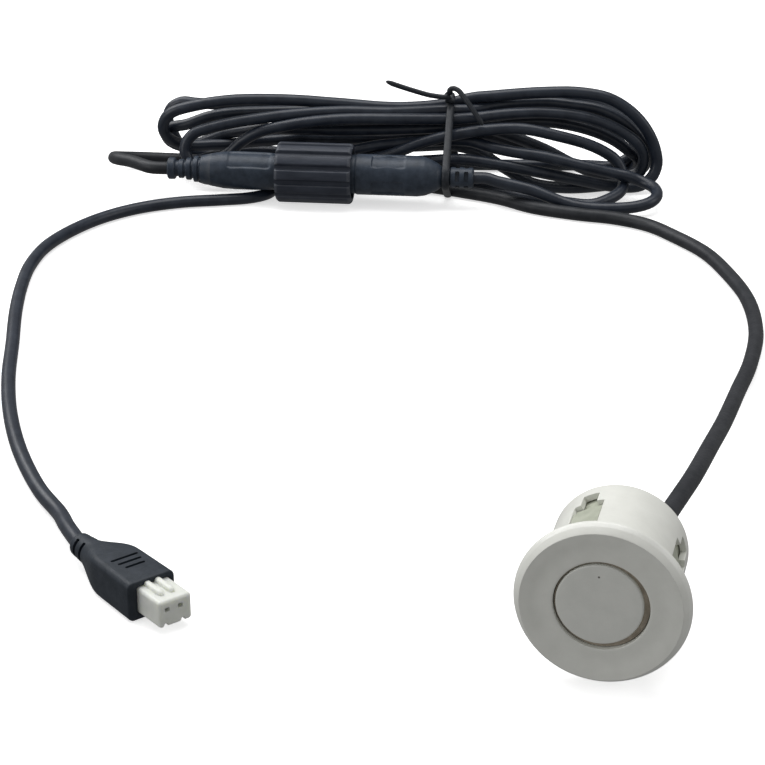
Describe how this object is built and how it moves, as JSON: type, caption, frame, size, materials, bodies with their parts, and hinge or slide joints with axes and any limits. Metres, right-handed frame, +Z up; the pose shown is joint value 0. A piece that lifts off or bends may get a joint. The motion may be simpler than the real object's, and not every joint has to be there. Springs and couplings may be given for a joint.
{
  "type": "parking sensor",
  "caption": "Flush ultrasonic bumper parking sensor: flanged round body with snap windows, sensor cable, screw-coupled in-line connector, tied hank of lead and small crimp plug.",
  "frame": {"origin": "under the middle of the sensor body, on the surface it lies on", "axes": "+Z up, +Y along the sensor's axis from its face towards its back, where it goes through the bumper, +X to the right seen from the front"},
  "size_m": [0.1743, 0.2461, 0.0291],
  "materials": {
    "bezel_white": "gloss white paint over moulded plastic",
    "can_white": "satin white paint over drawn aluminium",
    "capsule_plastic": "natural moulded plastic",
    "isolation_silicone": "matt silicone",
    "piezo_ceramic": "fired ceramic with a silvered face",
    "damping_foam": "open foam",
    "potting_resin": "poured resin",
    "wire_red": "insulated wire",
    "wire_black": "insulated wire",
    "black_rubber": "matt rubber",
    "connector_black": "fine moulded texture",
    "nut_black": "fine moulded texture, worn on the ridges",
    "seal_red": "silicone",
    "insert_black": "moulded",
    "contact_brass": "plated",
    "boot_black": "fine moulded texture",
    "housing_white": "natural white nylon",
    "terminal_tin": "tinned",
    "tie_black": "plastic over wire",
    "cable_jacket": "satin cable jacket",
    "lead_jacket": "satin cable jacket"
  },
  "bodies": {
    "sensor_and_lead": {"sensor_bezel": "bezel_white", "sensor_capsule": "capsule_plastic", "transducer_can": "can_white", "isolation_ring": "isolation_silicone", "piezo_disc": "piezo_ceramic", "damping_pad": "damping_foam", "potting_fill": "potting_resin", "signal_wire": "wire_red", "ground_wire": "wire_black", "cable_grommet": "black_rubber", "inline_left_half": "connector_black", "inline_right_half": "connector_black", "sealing_ring": "seal_red", "pin_insert": "insert_black", "socket_insert": "insert_black", "contact_pins": "contact_brass", "contact_sockets": "contact_brass", "left_cores": "wire_red", "right_cores": "wire_red", "plug_boot": "boot_black", "plug_housing": "housing_white", "plug_terminals": "terminal_tin", "plug_cores": "wire_red", "twist_tie": "tie_black", "sensor_cable": "cable_jacket", "connector_loop": "cable_jacket", "lead_hank": "lead_jacket", "hank_front_turns": "lead_jacket", "lead_tail": "lead_jacket"},
    "nut": {"coupling_nut": "nut_black"}
  },
  "joints": [
    {"name": "nut_turn", "type": "hinge", "parent": "sensor_and_lead", "child": "nut", "pos_m": [-0.10218, 0.19592, 0.0077], "axis": [-0.9893, -0.1461, 0], "range_deg": [0, 540]}
  ]
}
